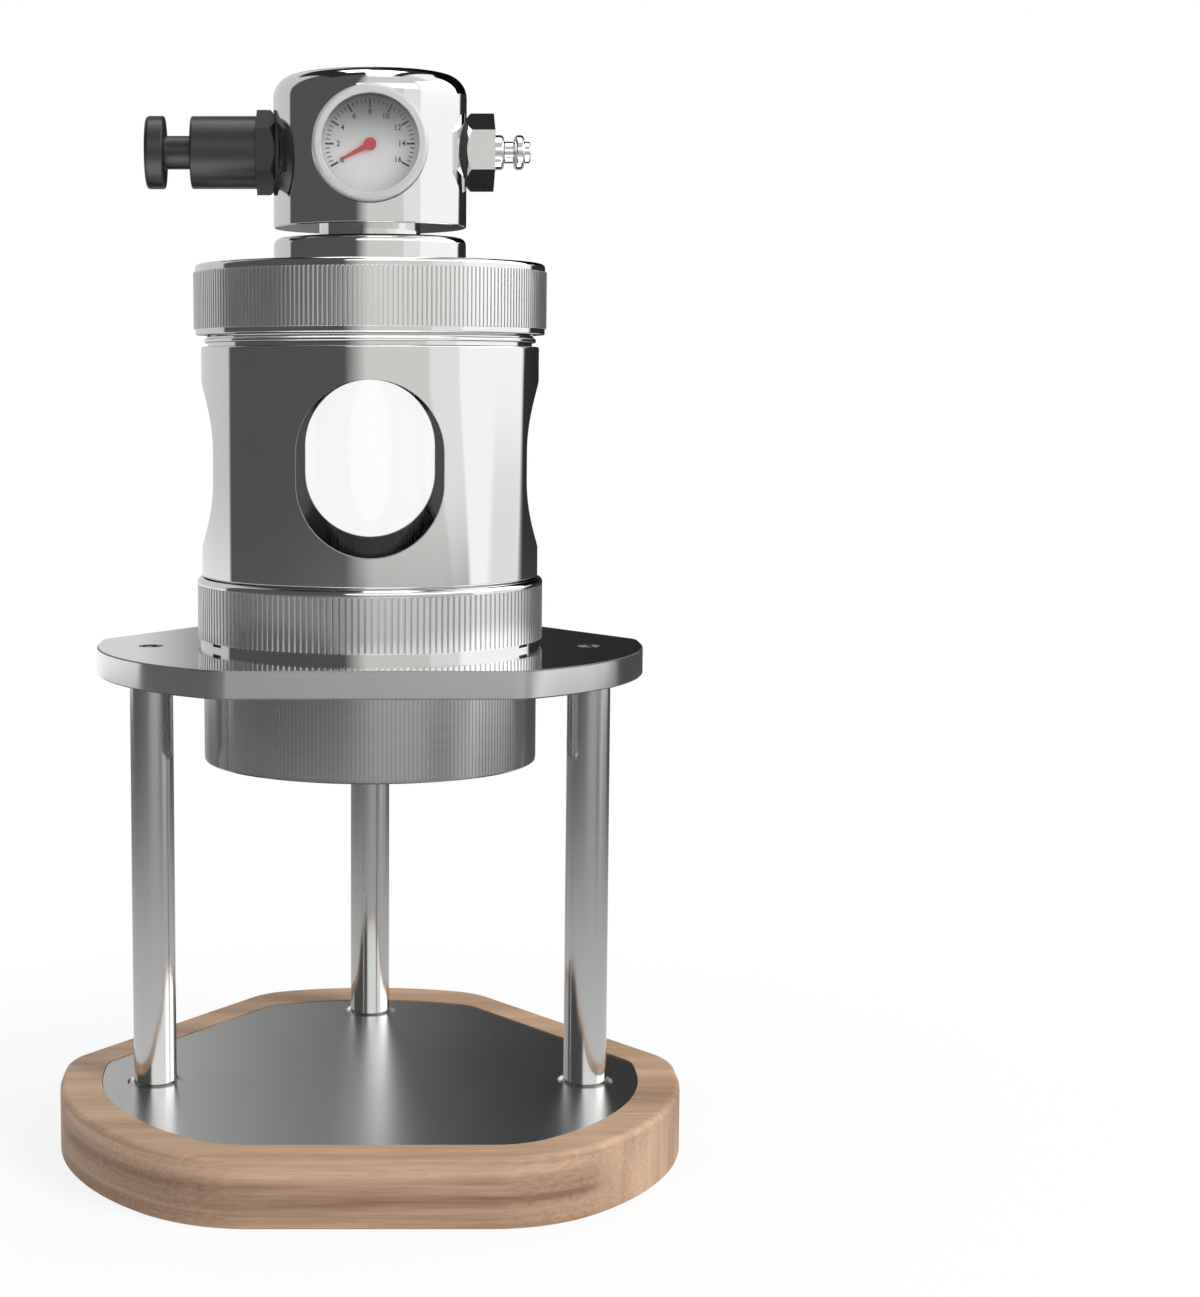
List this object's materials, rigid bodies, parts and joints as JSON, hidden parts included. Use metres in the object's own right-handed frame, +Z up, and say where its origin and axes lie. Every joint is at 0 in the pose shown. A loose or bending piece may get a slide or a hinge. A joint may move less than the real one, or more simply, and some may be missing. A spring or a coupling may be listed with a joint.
{
  "type": "espresso maker",
  "caption": "Hand espresso maker: air-pressurised chamber with windows, gauge and relief valve, over a screw-on filter cup, on a three-legged steel stand with a wooden base",
  "frame": {"origin": "on the underside of the wooden base, straight below the brewing axis", "axes": "+Z up along the brewing axis, the gauge faces -Y, the air plug points to +X"},
  "size_m": [0.1494, 0.1475, 0.2534],
  "materials": {
    "wood": "oiled light walnut with a soft satin sheen",
    "brushed_steel": "fine brushed, satin",
    "polished_steel": "mirror polished",
    "screw_steel": "plain",
    "rubber": "matt",
    "silicone": "matt, translucent white",
    "glass": "clear, polished",
    "black_anodised": "black anodised, satin",
    "gauge_metal": "light silver, satin",
    "dial_face": "printed, matt",
    "needle_red": "enamelled",
    "lens": "clear"
  },
  "bodies": {
    "stand": {"wood_base": "wood", "base_plate": "brushed_steel", "left_leg": "polished_steel", "right_leg": "polished_steel", "back_leg": "polished_steel", "leg_top_screws": "screw_steel", "leg_bottom_screws": "screw_steel", "top_plate": "polished_steel", "group_ring": "polished_steel", "group_gasket": "silicone", "shower_screen": "brushed_steel", "lower_glass_seal": "silicone", "glass_liner": "glass", "upper_glass_seal": "silicone", "chamber_body": "polished_steel"},
    "head": {"chamber_lid": "brushed_steel", "lid_collar": "polished_steel", "neck_tube": "polished_steel", "head_body": "polished_steel", "gauge_case": "gauge_metal", "gauge_dial": "dial_face", "gauge_lens": "lens", "gauge_bezel": "gauge_metal", "relief_valve_washer": "rubber", "relief_valve_base": "black_anodised", "relief_valve_barrel": "black_anodised", "relief_valve_spring": "screw_steel", "inlet_washer": "rubber", "inlet_adapter": "polished_steel", "inlet_plug": "polished_steel", "check_valve_spring": "screw_steel"},
    "cap": {"cap_nut": "polished_steel"},
    "needle": {"gauge_needle": "needle_red"},
    "relief_knob": {"relief_valve_knob": "black_anodised"},
    "poppet": {"check_valve_poppet": "screw_steel"},
    "basket": {"filter_basket": "brushed_steel"},
    "cup": {"portafilter_cup": "polished_steel"}
  },
  "joints": [
    {"name": "head_lift", "type": "slide", "parent": "stand", "child": "head", "axis": [0, 0, 1], "range_m": [0, 0.01]},
    {"name": "cap_turn", "type": "hinge", "parent": "head", "child": "cap", "pos_m": [0, 0, 0.2], "axis": [0, 0, 1], "range_deg": [0, 1440]},
    {"name": "needle_swing", "type": "hinge", "parent": "head", "child": "needle", "pos_m": [0, -0.02, 0.236], "axis": [0, 1, 0], "range_deg": [0, 238], "stiffness_Nm_per_rad": 0.0002, "springref_deg": -11.46},
    {"name": "relief_pull", "type": "slide", "parent": "head", "child": "relief_knob", "axis": [-1, 0, 0], "range_m": [0, 0.004], "stiffness_N_per_m": 1500, "springref_m": -0.003, "deforming": ["relief_valve_spring"]},
    {"name": "check_valve_open", "type": "slide", "parent": "head", "child": "poppet", "axis": [-1, 0, 0], "range_m": [0, 0.0012], "stiffness_N_per_m": 300, "springref_m": -0.002, "deforming": ["check_valve_spring"]},
    {"name": "basket_drop", "type": "slide", "parent": "stand", "child": "basket", "axis": [0, 0, -1], "range_m": [0, 0.0105]},
    {"name": "cup_turn", "type": "hinge", "parent": "basket", "child": "cup", "pos_m": [0, 0, 0.1], "axis": [0, 0, -1], "range_deg": [0, 1260]}
  ],
  "couplings": [
    {"joint": "head_lift", "follows": "cap_turn", "m_per_rad": 0.00039789},
    {"joint": "basket_drop", "follows": "cup_turn", "m_per_rad": 0.00047746}
  ]
}
